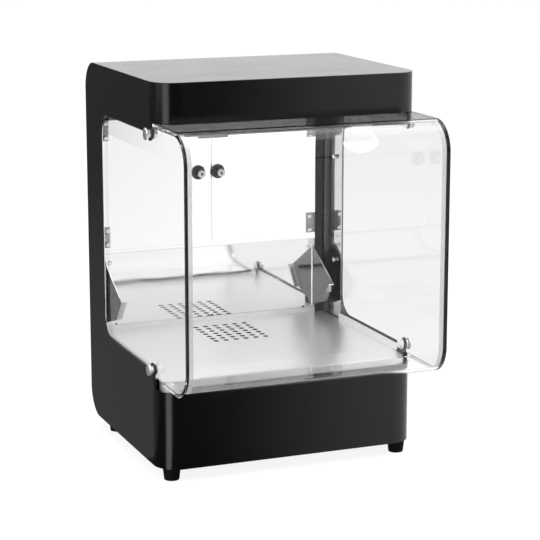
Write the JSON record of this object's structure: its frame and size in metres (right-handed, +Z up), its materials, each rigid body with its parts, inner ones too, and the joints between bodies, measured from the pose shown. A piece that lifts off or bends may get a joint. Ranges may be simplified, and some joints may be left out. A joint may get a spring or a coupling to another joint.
{
  "type": "chip warmer",
  "caption": "Counter-top chip warmer: black steel cabinet, clear bow-fronted hood, heated perforated deck, reflector lamp, rear doors and a tilting crumb flap.",
  "frame": {"origin": "centre of the footprint's bounding box, on the counter under the feet", "axes": "+Z up, -Y towards the customer, +X to the customer's right; the operator's doors face +Y"},
  "size_m": [0.3782, 0.4166, 0.522],
  "materials": {
    "black_paint": "satin black powder coat",
    "bright_steel": "bright polished stainless sheet",
    "deck_steel": "fine brushed stainless sheet",
    "clear_plastic": "clear polished acrylic",
    "chrome": "polished chrome plate",
    "zinc": "bright zinc plate",
    "hinge_steel": "satin steel",
    "dark_screw": "blackened steel",
    "rubber": "matt black rubber",
    "black_plastic": "moulded black plastic",
    "switch_plastic": "gloss black plastic",
    "pale_plastic": "pale moulded plastic",
    "bulb_glass": "white coated bulb glass",
    "ceramic": "glazed ceramic",
    "heater_sheath": "heat-stained steel sheath",
    "galvanised": "galvanised sheet"
  },
  "bodies": {
    "cabinet": {"outer_shell": "black_paint", "roof_panel": "black_paint", "rear_base_panel": "black_paint", "bottom_plate": "black_paint", "base_top_plate": "black_paint", "ceiling_plate": "black_paint", "left_door_jamb": "black_paint", "right_door_jamb": "black_paint", "post_linings": "bright_steel", "rear_header": "black_paint", "deck_plate": "deck_steel", "left_side_window": "clear_plastic", "right_side_window": "clear_plastic", "front_window": "clear_plastic", "hood_gaskets": "rubber", "window_screws": "chrome", "hinge_pins": "zinc", "hood_screws": "chrome", "hood_washers": "rubber", "hood_nuts": "chrome", "frame_hinge_screws": "dark_screw", "door_catch": "black_plastic", "flap_rod": "zinc", "lamp_bulb": "bulb_glass", "lamp_holder": "ceramic", "lamp_collar": "chrome", "heater_duct": "galvanised", "heater_element": "heater_sheath", "heater_bushes": "ceramic", "fan_frame": "black_plastic", "fan_screws": "zinc", "overheat_thermostat": "black_plastic", "terminal_block": "pale_plastic", "switch_housings": "switch_plastic", "cable_gland": "black_plastic", "gland_nut": "black_plastic", "front_left_foot": "rubber", "rear_left_foot": "rubber", "front_right_foot": "rubber", "rear_right_foot": "rubber", "foot_nuts": "zinc", "left_frame_hinge_leaves": "hinge_steel", "right_frame_hinge_leaves": "hinge_steel"},
    "left_door": {"left_rear_door": "clear_plastic", "left_door_knob": "black_plastic", "left_knob_screw": "pale_plastic", "left_door_hinge_leaves": "hinge_steel", "left_door_hinge_screws": "chrome", "left_door_strike": "zinc"},
    "right_door": {"right_rear_door": "clear_plastic", "right_door_knob": "black_plastic", "right_knob_screw": "pale_plastic", "right_door_hinge_leaves": "hinge_steel", "right_door_hinge_screws": "chrome", "right_door_strike": "zinc"},
    "flap": {"rear_flap": "bright_steel", "flap_rivets": "chrome"},
    "lamp_switch": {"lamp_rocker": "switch_plastic"},
    "heater_switch": {"heater_rocker": "switch_plastic"},
    "fan": {"fan_rotor": "black_plastic"}
  },
  "joints": [
    {"name": "left_door_swing", "type": "hinge", "parent": "cabinet", "child": "left_door", "pos_m": [-0.1685, 0.19605, 0.346], "axis": [0, 0, 1], "range_deg": [0, 110]},
    {"name": "right_door_swing", "type": "hinge", "parent": "cabinet", "child": "right_door", "pos_m": [0.1685, 0.19605, 0.346], "axis": [0, 0, -1], "range_deg": [0, 110]},
    {"name": "flap_tilt", "type": "hinge", "parent": "cabinet", "child": "flap", "pos_m": [0, 0.192, 0.14165], "axis": [-1, 0, 0], "range_deg": [0, 55]},
    {"name": "lamp_switch_rock", "type": "hinge", "parent": "cabinet", "child": "lamp_switch", "pos_m": [-0.118, 0.19675, 0.079], "axis": [1, 0, 0], "range_deg": [0, 20]},
    {"name": "heater_switch_rock", "type": "hinge", "parent": "cabinet", "child": "heater_switch", "pos_m": [-0.088, 0.19675, 0.079], "axis": [1, 0, 0], "range_deg": [0, 20]},
    {"name": "fan_spin", "type": "hinge", "parent": "cabinet", "child": "fan", "pos_m": [0, 0.11475, 0.06], "axis": [0, 0, 1], "continuous": true}
  ]
}
